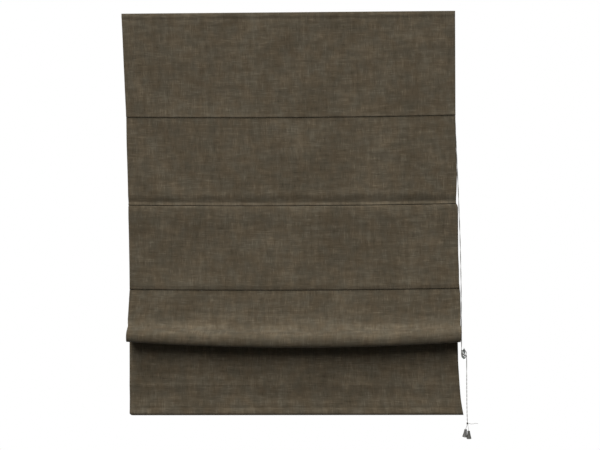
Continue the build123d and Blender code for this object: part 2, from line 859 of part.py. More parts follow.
save("cord_cleat", Pos(cleat_x, 0, cleat_z) * cleat)
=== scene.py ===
import math

import bpy
from mathutils import Matrix, Vector, noise


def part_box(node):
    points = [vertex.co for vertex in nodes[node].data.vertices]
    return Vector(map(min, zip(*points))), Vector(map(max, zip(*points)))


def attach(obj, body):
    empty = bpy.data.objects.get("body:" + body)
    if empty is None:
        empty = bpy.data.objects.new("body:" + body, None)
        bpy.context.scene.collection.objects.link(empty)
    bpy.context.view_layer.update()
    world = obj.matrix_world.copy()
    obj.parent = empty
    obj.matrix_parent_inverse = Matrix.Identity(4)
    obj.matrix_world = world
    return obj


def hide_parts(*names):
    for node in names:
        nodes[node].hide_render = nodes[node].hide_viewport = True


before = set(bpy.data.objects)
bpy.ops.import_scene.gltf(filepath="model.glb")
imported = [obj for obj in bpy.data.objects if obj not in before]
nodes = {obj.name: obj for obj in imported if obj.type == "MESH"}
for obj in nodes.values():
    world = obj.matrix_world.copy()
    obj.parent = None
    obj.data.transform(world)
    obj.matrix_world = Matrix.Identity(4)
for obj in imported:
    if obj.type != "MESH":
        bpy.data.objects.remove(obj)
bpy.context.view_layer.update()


# Head rail: an aluminium extrusion, open along its floor so that the fittings slide in from an end.
# It is anodised a dull pale grey, with the fine lines of the die along it, and is sawn square.
def shade(red, green, blue):
    """An sRGB colour, 0 to 255, as the linear colour that a shader takes."""
    return (*[((c / 255 + 0.055) / 1.055) ** 2.4 for c in (red, green, blue)], 1.0)


def finish(name, dark, light, grain, stretch=(1, 1, 1), gloss=(0.4, 0.6), metallic=0.0, relief=0.0):
    """A surface whose shade, roughness and relief drift with one noise of a given grain per metre."""
    material = bpy.data.materials.new(name)
    material.use_nodes = True
    tree = material.node_tree
    shader = tree.nodes["Principled BSDF"]
    shader.inputs["Metallic"].default_value = metallic
    place = tree.nodes.new("ShaderNodeTexCoord")
    drawn = tree.nodes.new("ShaderNodeMapping")
    drawn.inputs["Scale"].default_value = stretch
    drift = tree.nodes.new("ShaderNodeTexNoise")
    drift.inputs["Scale"].default_value = grain
    drift.inputs["Detail"].default_value = 4.0
    tint = tree.nodes.new("ShaderNodeValToRGB")
    tint.color_ramp.elements[0].position = 0.3
    tint.color_ramp.elements[0].color = dark
    tint.color_ramp.elements[1].position = 0.7
    tint.color_ramp.elements[1].color = light
    polish = tree.nodes.new("ShaderNodeMapRange")
    polish.inputs["To Min"].default_value = gloss[0]
    polish.inputs["To Max"].default_value = gloss[1]
    bump = tree.nodes.new("ShaderNodeBump")
    bump.inputs["Distance"].default_value = relief
    link = tree.links.new
    link(place.outputs["Object"], drawn.inputs["Vector"])
    link(drawn.outputs["Vector"], drift.inputs["Vector"])
    link(drift.outputs["Fac"], tint.inputs["Fac"])
    link(tint.outputs["Color"], shader.inputs["Base Color"])
    link(drift.outputs["Fac"], polish.inputs["Value"])
    link(polish.outputs["Result"], shader.inputs["Roughness"])
    link(drift.outputs["Fac"], bump.inputs["Height"])
    link(bump.outputs["Normal"], shader.inputs["Normal"])
    return material


def dress(material, *names):
    """Puts a material on solids that keep their own shape."""
    for name in names:
        for slot in nodes[name].material_slots:
            slot.material = material


die_lines = (0.02, 1, 1)
anodised_aluminium = finish(
    "anodised_aluminium", shade(158, 159, 160), shade(172, 173, 174), 900, die_lines, (0.5, 0.65), 0.0, 0.00002
)
dress(anodised_aluminium, "head_rail")

# End caps: plates moulded in pale grey plastic, each with a plug behind it.
# The plug is pressed into the sawn end of the rail.
grey_moulding = finish(
    "grey_moulding", shade(166, 166, 163), shade(180, 180, 177), 1400, gloss=(0.5, 0.65), relief=0.00003
)
dress(grey_moulding, "end_cap_left", "end_cap_right")

# Clip brackets: steel strip, bent and zinc plated, screwed to the wall or ceiling.
# The rail hooks in at the front and snaps past the tongue behind.
zinc_plate = finish(
    "zinc_plate", shade(120, 123, 126), shade(152, 155, 158), 260,
    gloss=(0.42, 0.58), metallic=1.0, relief=0.00002,
)
dress(zinc_plate, "bracket_left", "bracket_right")

# Hook and loop tapes: woven nylon, the stiff hooks stuck along the rail's front and the loops
# sewn to the back of the cloth, which is pressed on.
hook_nylon = finish(
    "hook_nylon", shade(190, 190, 186), shade(226, 226, 222), 1600, gloss=(0.55, 0.75), relief=0.0006
)
loop_nylon = finish(
    "loop_nylon", shade(198, 196, 190), shade(226, 224, 218), 700, gloss=(0.8, 0.95), relief=0.0008
)
dress(hook_nylon, "hook_tape")
dress(loop_nylon, "loop_tape")

# Cord guides and cord lock: nylon mouldings that sit in the rail, each with steel pins.
# Their pulleys turn on the pins, and a toothed brass pawl in the lock bites the cords.
guide_nylon = finish(
    "guide_nylon", shade(206, 204, 197), shade(222, 220, 214), 1100, gloss=(0.36, 0.5), relief=0.00003
)
pulley_nylon = finish(
    "pulley_nylon", shade(214, 214, 211), shade(226, 226, 224), 1500, gloss=(0.28, 0.4), relief=0.00002
)
bright_steel = finish(
    "bright_steel", shade(170, 172, 174), shade(206, 207, 208), 1200, (1, 0.1, 1), (0.18, 0.3), 1.0, 0.00001
)
cast_brass = finish(
    "cast_brass", shade(158, 128, 66), shade(196, 164, 92), 500,
    gloss=(0.26, 0.44), metallic=1.0, relief=0.00004,
)
dress(guide_nylon, "cord_guide_left", "cord_guide_right", "cord_lock_body")
dress(pulley_nylon, "guide_pulley_left", "guide_pulley_right", "cord_lock_roller")
dress(bright_steel, "guide_pulley_pin_left", "guide_pulley_pin_right")
dress(bright_steel, "cord_lock_roller_pin", "cord_lock_pawl_pin")
dress(cast_brass, "cord_lock_pawl")

# Stiffening rods and bottom bar: glass-fibre rods in the cloth's pockets, and a flat aluminium bar
# with a plastic cap on each end in the hem, which keep the cloth straight across.
glass_fibre = finish(
    "glass_fibre", shade(200, 198, 184), shade(220, 219, 208), 700, (0.04, 1, 1), (0.3, 0.5), 0.0, 0.00003
)
dress(glass_fibre, *[f"stiffening_rod_{number}" for number in (1, 2, 3, 4)])
drawn_aluminium = finish(
    "drawn_aluminium", shade(176, 178, 180), shade(204, 206, 208), 900, die_lines, (0.3, 0.42), 1.0, 0.00002
)
dress(drawn_aluminium, "bottom_bar")
dress(grey_moulding, "bottom_bar_cap_left", "bottom_bar_cap_right")

# Cloth: one length of brown slubby weave, turned over and sewn at the top, tucked round a rod at
# each of four seams, folded out over the lowest, and sewn round the bar at the hem.
thickness = 0.0009
cloth_low, cloth_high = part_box("blind_fabric")
cloth_top = cloth_high.z
cloth_hem = cloth_low.z
cloth_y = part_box("loop_tape")[0].y - 1.5 * thickness
rod_radius = 0.002
rod_play = 0.0003
rod_boxes = [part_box(f"stiffening_rod_{number}") for number in (1, 2, 3, 4)]
pocket_y = (rod_boxes[0][0].y + rod_boxes[0][1].y) / 2
pocket_radius = rod_radius + rod_play + thickness / 2
seam_sag = 0.005
seam_nip = 0.0012
pocket_mouth = 0.0007
pocket_neck = 0.0006
neck_length = 0.0012
top_hem = 0.026
top_stitch = 0.0225
fold_swell = 0.010
fold_reach = cloth_y - cloth_low.y - thickness / 2 + fold_swell
fold_rise = 0.098
fold_sag = 0.020
fold_tilt = 0.002
hem_height = 0.0294
hem_depth = 0.0074
hem_turn = 0.010
hem_line = cloth_hem + hem_height - thickness / 2
hem_corner = 0.010
corner_lift = 0.6
columns = 100
# Where the side edges hang, as heights and places: the front down to the fold, and the skirt behind it.
front_left = [
    (0.0185, -0.6052), (-0.270, -0.5935), (-0.358, -0.5893), (-0.450, -0.5886), (-0.680, -0.5825),
    (-0.720, -0.5825), (-0.975, -0.5792), (-1.040, -0.5829), (-1.092, -0.5856), (-1.107, -0.5842),
    (-1.116, -0.5812), (-1.126, -0.5794), (-1.143, -0.5803), (-1.160, -0.5810),
]
front_right = [
    (0.0185, 0.6052), (-0.358, 0.6048), (-0.450, 0.6050), (-0.575, 0.6094), (-0.655, 0.6062),
    (-0.676, 0.6060), (-0.690, 0.6120), (-0.860, 0.6126), (-0.915, 0.6150), (-0.965, 0.6150),
    (-1.002, 0.6193), (-1.086, 0.6200), (-1.170, 0.6118),
]
skirt_left = [(-1.060, -0.5812), (-1.443, -0.5812)]
skirt_right = [
    (-1.060, 0.6087), (-1.180, 0.6099), (-1.250, 0.6109), (-1.330, 0.6152), (-1.385, 0.6198),
    (-1.420, 0.6247), (-1.443, 0.6290),
]


def between(table, height):
    """An edge's place at a height, read between the rows of a table that goes downwards."""
    if height >= table[0][0]:
        return table[0][1]
    for (z0, upper), (z1, lower) in zip(table, table[1:]):
        if height >= z1:
            return upper + (lower - upper) * (z0 - height) / (z0 - z1)
    return table[-1][1]


def tuck(seam, over, under):
    """A seam's line: in over the rod, round it and out again. over and under are the lips."""
    drawn_in = 0.94  # how much of the way out to its control points the soft line comes
    reach = pocket_radius / drawn_in
    neck = pocket_y - pocket_radius - neck_length
    line = [(cloth_y + out, seam + rise, 0, loose, 3) for out, rise, loose in over]
    line += [(cloth_y + seam_nip, seam + pocket_mouth, 0, 0, 3), (neck, seam + pocket_neck, 0, 0, 2)]
    for turn in (130, 85, 40, 0, -40, -85, -130):
        angle = math.radians(turn)
        line.append((pocket_y + reach * math.cos(angle), seam + reach * math.sin(angle), 0, 0, 3))
    line += [(neck, seam - pocket_neck, 0, 0, 2), (cloth_y + seam_nip, seam - pocket_mouth, 0, 0, 3)]
    return line + [(cloth_y + out, seam - drop, 0, loose, 3) for out, drop, loose in under]


def panel(upper, lower, count):
    """Even points down a flat panel."""
    step = (lower - upper) / (count + 1)
    return [(cloth_y, upper + step * (n + 1), 0, 1, 4) for n in range(count)]


# The front of the turned top, which the stitching nips in: how far out, how far down, how loose.
top_face = [
    (-0.0014, 0.008, 0), (-0.0020, 0.014, 0), (-0.0002, top_stitch, 0), (-0.0008, 0.030, 0),
    (-0.0004, 0.045, 0.5),
]
# The lips of the three seams in front: how far out, how far above or below the seam, how loose.
plain_over = [
    (-0.0001, 0.050, 0.8), (-0.0004, 0.028, 0.4), (-0.0014, 0.012, 0), (-0.0022, 0.0040, 0),
    (-0.0016, 0.0008, 0),
]
plain_under = [(0.0003, 0.0008, 0), (0.0007, 0.0060, 0), (0.0004, 0.024, 0.4), (0, 0.045, 0.8)]
double_over = [
    (-0.0004, 0.070, 0.8), (-0.0022, 0.046, 0.3), (-0.0022, 0.034, 0), (0.0026, 0.0135, 0),
    (0.0020, 0.0100, 0), (-0.0010, 0.0030, 0), (-0.0012, 0.0014, 0),
]
double_under = [
    (-0.0010, 0.0020, 0), (-0.0026, 0.0075, 0), (-0.0036, 0.020, 0.3), (-0.0036, 0.040, 0.6),
    (-0.0016, 0.075, 0.9),
]
creased_over = [
    (-0.0002, 0.070, 0.8), (-0.0012, 0.045, 0.4), (-0.0032, 0.020, 0), (-0.0034, 0.0150, 0),
    (-0.0026, 0.0080, 0), (-0.0018, 0.0008, 0),
]
creased_under = [(0.0006, 0.0016, 0), (0.0004, 0.0080, 0)]
# The fourth seam, out of sight behind the fold, which the cloth comes up to from below.
hidden_over = [(-0.0016, -0.010, 0), (-0.0004, -0.0006, 0)]
hidden_under = [(0.0024, 0.0012, 0), (0.0018, 0.008, 0), (0.0006, 0.026, 0.3)]
# The fold over the lowest rod: how far out and how far down, then how far back up behind.
fold_front = [
    (0.010, 0.12, 0, 0.3, 4), (0.030, 0.27, 0, 0.6, 5), (0.055, 0.42, 0, 0.6, 5), (0.085, 0.53, 0, 0.6, 5),
    (0.14, 0.63, 0, 0.6, 5), (0.31, 0.715, 0, 0.6, 5), (0.80, 0.765, 0, 0.6, 6), (1.00, 0.825, 0, 0.4, 6),
    (1.015, 0.93, 0.05, 0.3, 6), (0.90, 1.020, 0.3, 0.3, 6), (0.56, 1.010, 0.8, 0.3, 6),
]
fold_behind = [(0.20, 0.04, 6), (0.055, 0.24, 6), (0.030, 0.62, 4)]
# The skirt below the fold, which bows out a little above the hem: how far out, how far above it, how loose.
skirt = [
    (0.0010, 0.280, 0.9), (0.0012, 0.230, 1), (0.0010, 0.180, 1), (0.0008, 0.150, 1), (0.0004, 0.124, 0.8),
    (-0.0022, 0.084, 0.6), (-0.0022, 0.080, 0.6), (0.0009, 0.052, 0.6), (0.0014, 0.034, 0.6),
]
# The hem's front from its line of stitches down, and then how far above the cloth's lowest edge it rolls.
hem_face = [(-0.0004, 0.012, 0.3), (-0.0006, 0.003, 0), (-0.0002, -0.001, 0), (-0.0008, -0.004, 0)]
hem_roll = [(-0.0028, 0.0125), (-0.0032, 0.0080), (-0.0006, 0.0016)]


def cloth_line(across):
    """The cloth's line from its turned top edge to its turned hem, across being -1 to 1."""
    middle = 1 - across**2
    s1, s2, s3, s4 = [low.z + rod_radius + seam_sag * across**2 for low, high in rod_boxes]
    fold_bottom = s4 - fold_rise - (fold_sag - seam_sag) * middle - fold_tilt * across
    drop = s3 - fold_bottom
    back = cloth_y + thickness
    top_bend = cloth_top - 0.0004
    line = [
        (back, cloth_top - top_hem, 0, 0, 2),
        (back, cloth_top - top_hem / 2, 0, 0, 2),
        (back, top_bend, 0, 0, 3),
        (cloth_y, top_bend, 0, 0, 3),
    ]
    line += [(cloth_y + out, cloth_top - down, 0, loose, 3) for out, down, loose in top_face]
    line += panel(cloth_top - top_face[-1][1], s1 + plain_over[0][1], 7)
    line += tuck(s1, plain_over, plain_under)
    line += panel(s1 - plain_under[-1][1], s2 + double_over[0][1], 5)
    line += tuck(s2, double_over, double_under)
    line += panel(s2 - double_under[-1][1], s3 + creased_over[0][1], 4)
    line += tuck(s3, creased_over, creased_under)
    for out, fall, behind, loose, steps in fold_front:
        line.append((cloth_y - fold_reach * out, s3 - drop * fall, behind, loose, steps))
    for out, lift, steps in fold_behind:
        line.append((cloth_y - fold_reach * out, fold_bottom + (s4 - fold_bottom) * lift, 1, 0.3, steps))
    rod_4 = tuck(s4, hidden_over, [])
    line += [(y, z, 1, loose, steps) for y, z, behind, loose, steps in rod_4[:-1]]
    line += [(cloth_y + out, s4 - down, 1, loose, 3) for out, down, loose in hidden_under]
    line += [(cloth_y + out, hem_line + rise, 1, loose, 4) for out, rise, loose in skirt]
    line += [(cloth_y + out, hem_line + rise, 1, loose, 3) for out, rise, loose in hem_face]
    line += [(cloth_y + out, cloth_hem + rise, 1, 0, 3) for out, rise in hem_roll]
    # under the bar, up behind it and in again to the front, where the raw edge is turned up
    hem_back = cloth_y + hem_depth - thickness
    line += [
        (cloth_y + 0.0008, cloth_hem + thickness / 2, 1, 0, 3),
        (hem_back - 0.0010, cloth_hem + thickness / 2, 1, 0, 3),
        (hem_back, cloth_hem + 0.003, 1, 0, 3),
        (hem_back, cloth_hem + 0.015, 1, 0, 3),
        (hem_back, hem_line - 0.0020, 1, 0, 3),
        (hem_back - 0.0014, hem_line, 1, 0, 3),
        (cloth_y + 0.0016, hem_line, 1, 0, 3),
        (cloth_y + thickness, hem_line + 0.0016, 1, 0, 3),
        (cloth_y + thickness, hem_line + hem_turn, 1, 0, 2),
    ]
    return line


def soft_line(controls):
    """Points along the curve that a line of control points draws out, as cloth rounds its folds."""
    points = [Vector(control[:4]) for control in controls]
    last = len(points) - 2
    drawn = []
    for n in range(1, last + 1):
        start = points[0] if n == 1 else (points[n - 1] + points[n]) / 2
        end = points[-1] if n == last else (points[n] + points[n + 1]) / 2
        steps = controls[n][4]
        for step in range(steps):
            t = step / steps
            drawn.append(start * (1 - t) ** 2 + points[n] * 2 * t * (1 - t) + end * t**2)
    return drawn + [points[-1]]


def slack(x, z):
    """How far the cloth stands off its plane where nothing pulls it straight."""
    broad = noise.noise(Vector((x * 2.6, z * 1.7, 0.4)))
    small = noise.noise(Vector((x * 7.5, z * 5.0, 3.1)))
    return 0.0022 * broad + 0.0007 * small


def cloth_place(column, share):
    """The places down the cloth at a share of its width. The hem's left corner is a little rounded."""
    places = []
    for y, z, behind, loose in column:
        left = between(front_left, z) * (1 - behind) + between(skirt_left, z) * behind
        right = between(front_right, z) * (1 - behind) + between(skirt_right, z) * behind
        x = left + (right - left) * share
        corner = max(0.0, 1 - (x - left) / hem_corner) * min(max((hem_line - z) / hem_height, 0.0), 1.0)
        places.append(Vector((x, y + loose * slack(x, z), z + corner**2 * hem_corner * corner_lift)))
    return places


shares = [0.0, 0.003, 0.006] + [n / columns for n in range(1, columns)] + [0.994, 0.997, 1.0]
cloth_columns = [cloth_place(soft_line(cloth_line(2 * share - 1)), share) for share in shares]
along = [0.0]
middle_column = cloth_columns[len(shares) // 2]
for upper, lower in zip(middle_column, middle_column[1:]):
    along.append(along[-1] + (lower - upper).length)


def grid_mesh(name, patches):
    """A mesh of patches: grids of places, column by column, with each place's flat position as its UV."""
    places, faces, flat = [], [], []
    for grid, flat_grid in patches:
        depth = len(grid[0])
        for column in range(len(grid) - 1):
            for row in range(depth - 1):
                corner = len(places) + column * depth + row
                faces.append((corner, corner + 1, corner + depth + 1, corner + depth))
        places += [place for column in grid for place in column]
        flat += flat_grid
    mesh = bpy.data.meshes.new(name)
    mesh.from_pydata(places, [], faces)
    mesh.polygons.foreach_set("use_smooth", [True] * len(faces))
    weave = mesh.uv_layers.new(name="weave")
    for loop in mesh.loops:
        weave.data[loop.index].uv = flat[loop.vertex_index]
    return mesh


def add(name, mesh, material):
    """A piece made of a mesh, which keeps still with the blind itself."""
    piece = bpy.data.objects.new(name, mesh)
    bpy.context.scene.collection.objects.link(piece)
    mesh.materials.append(material)
    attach(piece, "blind")
    return piece


def thicken(piece):
    """Gives a piece of cloth its thickness, half to each side."""
    solid = piece.modifiers.new("thickness", "SOLIDIFY")
    solid.thickness = thickness
    solid.offset = 0.0


def slub_weave(name, dark, middle, light, brown, olive):
    """A plain weave of uneven yarns: soft bands of tone both ways, with a few thick or thin lengths."""
    material = bpy.data.materials.new(name)
    material.use_nodes = True
    tree = material.node_tree
    link = tree.links.new
    shader = tree.nodes["Principled BSDF"]
    shader.inputs["Roughness"].default_value = 0.92
    shader.inputs["Specular IOR Level"].default_value = 0.15
    shader.inputs["Sheen Weight"].default_value = 0.03
    shader.inputs["Sheen Roughness"].default_value = 0.5
    flat = tree.nodes.new("ShaderNodeUVMap")
    flat.uv_map = "weave"

    def yarns(across, down, detail, start=0.0):
        drawn = tree.nodes.new("ShaderNodeMapping")
        drawn.inputs["Scale"].default_value = (across, down, 1)
        drawn.inputs["Location"].default_value = (start, start, start)
        streak = tree.nodes.new("ShaderNodeTexNoise")
        streak.inputs["Scale"].default_value = 1.0
        streak.inputs["Detail"].default_value = detail
        link(flat.outputs["UV"], drawn.inputs["Vector"])
        link(drawn.outputs["Vector"], streak.inputs["Vector"])
        return streak.outputs["Fac"]

    def only(value, start, full):
        passed = tree.nodes.new("ShaderNodeMapRange")
        passed.interpolation_type = "SMOOTHSTEP"
        passed.inputs["From Min"].default_value = start
        passed.inputs["From Max"].default_value = full
        link(value, passed.inputs["Value"])
        return passed.outputs["Result"]

    def sum_of(parts):
        total = None
        for value, weight in parts:
            scaled = tree.nodes.new("ShaderNodeMath")
            scaled.operation = "MULTIPLY_ADD"
            scaled.inputs[1].default_value = weight
            scaled.inputs[2].default_value = 0.0
            link(value, scaled.inputs[0])
            if total is not None:
                link(total, scaled.inputs[2])
            total = scaled.outputs[0]
        return total

    warp = yarns(270, 30, 1)
    weft = yarns(28, 270, 1)
    fine_warp = yarns(900, 60, 1)
    fine_weft = yarns(60, 900, 1)
    warp_band = yarns(66, 11, 2)
    weft_band = yarns(11, 66, 2)
    blotch = yarns(36, 42, 1)
    cloud = yarns(6, 7, 2)
    thick = sum_of([(only(warp, 0.58, 0.74), 1.0), (only(weft, 0.58, 0.74), 1.0)])
    thin = sum_of([(only(warp, 0.42, 0.26), 1.0), (only(weft, 0.42, 0.26), 1.0)])
    tone = sum_of(
        [
            (warp, 0.03), (weft, 0.03), (fine_warp, 0.02), (fine_weft, 0.02), (warp_band, 0.19),
            (weft_band, 0.23), (blotch, 0.13), (cloud, 0.23), (thick, 0.08), (thin, -0.07),
        ]
    )
    tint = tree.nodes.new("ShaderNodeValToRGB")
    tint.color_ramp.elements[0].position = 0.25
    tint.color_ramp.elements[0].color = dark
    tint.color_ramp.elements[1].position = 0.63
    tint.color_ramp.elements[1].color = light
    tint.color_ramp.elements.new(0.44).color = middle
    hue = tree.nodes.new("ShaderNodeValToRGB")
    hue.color_ramp.elements[0].position = 0.36
    hue.color_ramp.elements[0].color = brown
    hue.color_ramp.elements[1].position = 0.64
    hue.color_ramp.elements[1].color = olive
    dyed = tree.nodes.new("ShaderNodeMix")
    dyed.data_type = "RGBA"
    dyed.blend_type = "MULTIPLY"
    dyed.inputs["Factor"].default_value = 1.0
    link(tone, tint.inputs["Fac"])
    link(yarns(24, 20, 2, start=5.0), hue.inputs["Fac"])
    link(tint.outputs["Color"], dyed.inputs["A"])
    link(hue.outputs["Color"], dyed.inputs["B"])
    link(dyed.outputs["Result"], shader.inputs["Base Color"])
    relief = sum_of([(warp, 0.25), (weft, 0.25), (fine_warp, 0.5), (fine_weft, 0.5), (thick, 0.3)])
    bump = tree.nodes.new("ShaderNodeBump")
    bump.inputs["Strength"].default_value = 0.5
    bump.inputs["Distance"].default_value = 0.0005
    link(relief, bump.inputs["Height"])
    link(bump.outputs["Normal"], shader.inputs["Normal"])
    return material


brown_weave = slub_weave(
    "brown_weave",
    shade(58, 51, 39),
    shade(79, 71, 58),
    shade(104, 95, 80),
    (1.03, 0.99, 0.93, 1),
    (0.97, 1.0, 1.01, 1),
)
cloth_width = front_right[0][1] - front_left[0][1]
cloth_flat = [(cloth_width * share, -down) for share in shares for down in along]
cloth = add("blind_cloth", grid_mesh("blind_cloth", [(cloth_columns, cloth_flat)]), brown_weave)
thicken(cloth)
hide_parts("blind_fabric")


# Side hems: the cloth's two long edges, turned to the back in the flat before the pockets are sewn,
# so that each shows behind as a narrow strip between one pocket and the next.
side_hem = 0.022
hem_gap = 0.007
hem_clear = 0.001
hem_lift = thickness + 0.0001
edge_in = 0.0004
flat_within = 0.006
rows = len(along)
top_row = max(range(rows), key=lambda row: middle_column[row].z)
low_row = min(range(rows), key=lambda row: middle_column[row].z)
last_pocket_row = max(row for row in range(rows) if middle_column[row].y > pocket_y)
rod_heights = [low.z + rod_radius for low, high in rod_boxes]
spans = [
    (top_row, cloth_top - top_hem - hem_clear, rod_heights[0] + hem_gap),
    (top_row, rod_heights[0] - hem_gap, rod_heights[1] + hem_gap),
    (top_row, rod_heights[1] - hem_gap, rod_heights[2] + hem_gap),
    (last_pocket_row, rod_heights[3] - hem_gap, hem_line + hem_turn + hem_clear),
]
hem_share = side_hem / cloth_width
for side, near, far in (("left", edge_in, hem_share), ("right", 1 - hem_share, 1 - edge_in)):
    strip_shares = [near + (far - near) * n / 3 for n in range(4)]
    strips = [cloth_place(soft_line(cloth_line(2 * share - 1)), share) for share in strip_shares]
    patches = []
    for first, upper, lower in spans:
        held = [row for row in range(first, low_row) if lower <= middle_column[row].z <= upper]
        held = [row for row in held if abs(middle_column[row].y - cloth_y) < flat_within]
        grid = [[column[row] + Vector((0, hem_lift, 0)) for row in held] for column in strips]
        patches.append((grid, [(cloth_width * share, -along[row]) for share in strip_shares for row in held]))
    strip = add(f"side_hem_{side}", grid_mesh(f"side_hem_{side}", patches), brown_weave)
    thicken(strip)

# Sewing: brown polyester thread. It runs along the top hem in front and the bottom hem behind,
# and a few turns of it tie each lift ring to its pocket.
thread_radius = 0.00022
stitch_length = 0.0026
stitch_pitch = 0.0034
hem_stitch = 0.003
lift_line = 0.470
loop_y = -0.0187
loop_out = 0.0019
loop_rise = 0.0015
loop_gap = 0.0009


def even(line, spacing):
    """The same line with its points at an even spacing."""
    lengths = [(b - a).length for a, b in zip(line, line[1:])]
    count = max(2, round(sum(lengths) / spacing))
    step = sum(lengths) / count
    points, passed, leg = [line[0].copy()], 0.0, 0
    for number in range(1, count):
        wanted = number * step
        while passed + lengths[leg] < wanted:
            passed += lengths[leg]
            leg += 1
        points.append(line[leg].lerp(line[leg + 1], (wanted - passed) / lengths[leg]))
    return points + [line[-1].copy()]


def frames(line):
    """At each point of a line, two directions square to it that turn as little as they can."""
    side = None
    pairs = []
    for number, here in enumerate(line):
        ahead = line[min(number + 1, len(line) - 1)] - line[max(number - 1, 0)]
        ahead.normalize()
        side = ahead.orthogonal() if side is None else side - ahead * side.dot(ahead)
        side.normalize()
        pairs.append((side.copy(), ahead.cross(side)))
    return pairs


def tube_parts(line, radius, sides, start=0):
    """The vertices, faces and braid coordinates of a round strand with closed ends."""
    places, faces, flat = [], [], []
    passed = 0.0
    for number, (here, (side, up)) in enumerate(zip(line, frames(line))):
        if number:
            passed += (here - line[number - 1]).length
        for n in range(sides):
            angle = 2 * math.pi * n / sides
            places.append(here + (side * math.cos(angle) + up * math.sin(angle)) * radius)
            flat.append((n / sides, passed))
    for ring in range(len(line) - 1):
        for n in range(sides):
            a = start + ring * sides + n
            b = start + ring * sides + (n + 1) % sides
            faces.append((a, b, b + sides, a + sides))
    last = start + (len(line) - 1) * sides
    faces.append(tuple(start + n for n in reversed(range(sides))))
    faces.append(tuple(last + n for n in range(sides)))
    return places, faces, flat


def strands_mesh(name, lines, radius, sides=8):
    """One mesh of several strands."""
    places, faces, flat = [], [], []
    for line in lines:
        more = tube_parts(line, radius, sides, len(places))
        places += more[0]
        faces += more[1]
        flat += more[2]
    mesh = bpy.data.meshes.new(name)
    mesh.from_pydata(places, [], faces)
    mesh.polygons.foreach_set("use_smooth", [len(face) == 4 for face in faces])
    braid = mesh.uv_layers.new(name="braid")
    for loop in mesh.loops:
        braid.data[loop.index].uv = flat[loop.vertex_index]
    return mesh


def braid(name, gap_shade, yarn, pitch):
    """A braided cord: yarns that cross in diamonds, with painted shade where they dive under each other."""
    material = bpy.data.materials.new(name)
    material.use_nodes = True
    tree = material.node_tree
    link = tree.links.new
    shader = tree.nodes["Principled BSDF"]
    shader.inputs["Roughness"].default_value = 0.7
    shader.inputs["Sheen Weight"].default_value = 0.1
    flat = tree.nodes.new("ShaderNodeUVMap")
    flat.uv_map = "braid"
    yarns_round = 4
    waves = []
    for way in (-1, 1):
        turned = tree.nodes.new("ShaderNodeVectorMath")
        turned.operation = "DOT_PRODUCT"
        turned.inputs[1].default_value = (2 * math.pi * yarns_round, way * 2 * math.pi / pitch, 0)
        wave = tree.nodes.new("ShaderNodeMath")
        wave.operation = "SINE"
        link(flat.outputs["UV"], turned.inputs[0])
        link(turned.outputs["Value"], wave.inputs[0])
        waves.append(wave)
    diamonds = tree.nodes.new("ShaderNodeMath")
    diamonds.operation = "MULTIPLY"
    link(waves[0].outputs[0], diamonds.inputs[0])
    link(waves[1].outputs[0], diamonds.inputs[1])
    # The gap colour is painted shade where one yarn dives under another; the yarn colour is the cord's own.
    tint = tree.nodes.new("ShaderNodeValToRGB")
    tint.color_ramp.elements[0].color = gap_shade
    tint.color_ramp.elements[1].color = yarn
    tint.color_ramp.elements[1].position = 0.45
    level = tree.nodes.new("ShaderNodeMapRange")
    level.inputs["From Min"].default_value = -1.0
    link(diamonds.outputs[0], level.inputs["Value"])
    link(level.outputs["Result"], tint.inputs["Fac"])
    link(tint.outputs["Color"], shader.inputs["Base Color"])
    bump = tree.nodes.new("ShaderNodeBump")
    bump.inputs["Distance"].default_value = 0.0002
    link(level.outputs["Result"], bump.inputs["Height"])
    link(bump.outputs["Normal"], shader.inputs["Normal"])
    return material


def stitch_row(line, out):
    """Short lengths of thread along a line on the cloth, each dipping into it at both ends."""
    marks = even(line, stitch_pitch)
    stitches = []
    for start, end in zip(marks, marks[1:]):
        step = (end - start) * (stitch_length / stitch_pitch / 4)
        rises = [thickness / 2 + thread_radius * rise for rise in (-1.0, 0.5, 0.8, 0.5, -1.0)]
        stitches.append([start + step * n + Vector((0, out * rise, 0)) for n, rise in enumerate(rises)])
    return stitches


def row_at(height, first, last):
    """The row of the cloth nearest to a height, between two rows."""
    return min(range(first, last), key=lambda row: abs(middle_column[row].z - height))


# The first, darker shade is painted shade between the yarns.
brown_thread = braid("brown_thread", shade(44, 38, 29), shade(74, 66, 53), 0.0012)
top_row_sewn = row_at(cloth_top - top_stitch, top_row, top_row + 40)
hem_row_sewn = row_at(hem_line + hem_turn - hem_stitch, low_row, rows)
top_seam = stitch_row([column[top_row_sewn] for column in cloth_columns], -1)
hem_seam = stitch_row([column[hem_row_sewn] for column in cloth_columns], 1)
ring_ties = []
for x in (-lift_line, lift_line):
    for low, high in rod_boxes:
        across = (x - (low.x + high.x) / 2) / (cloth_width / 2)
        height = low.z + rod_radius + seam_sag * across**2
        for shift in (-loop_gap, 0.0, loop_gap):
            loop = []
            for turn in range(0, 361, 20):
                out = loop_y + loop_out * math.cos(math.radians(turn))
                rise = height + loop_rise * math.sin(math.radians(turn))
                loop.append(Vector((x + shift, out, rise)))
            ring_ties.append(loop)
for name, lines in (("top_stitches", top_seam), ("hem_stitches", hem_seam), ("ring_ties", ring_ties)):
    add(name, strands_mesh(name, lines, thread_radius, sides=5), brown_thread)


# Lift rings and orbs: small plastic rings sewn behind each pocket, through which the lift cords run,
# and a hollow ball under the lowest ring that hides each cord's end knot.
ring_plastic = finish(
    "ring_plastic", shade(210, 209, 203), shade(224, 223, 219), 1300, gloss=(0.25, 0.38), relief=0.00002
)
dress(ring_plastic, "lift_rings_left", "lift_rings_right", "cord_orb_left", "cord_orb_right")


# Cords: braided polyester, 1.6 mm thick. Each lift cord runs from its knot up through the rings,
# over its pulley and along the rail to the lock. The two leave the lock as a twisted pair.
cord_radius = 0.0008
end_knot = 0.0011


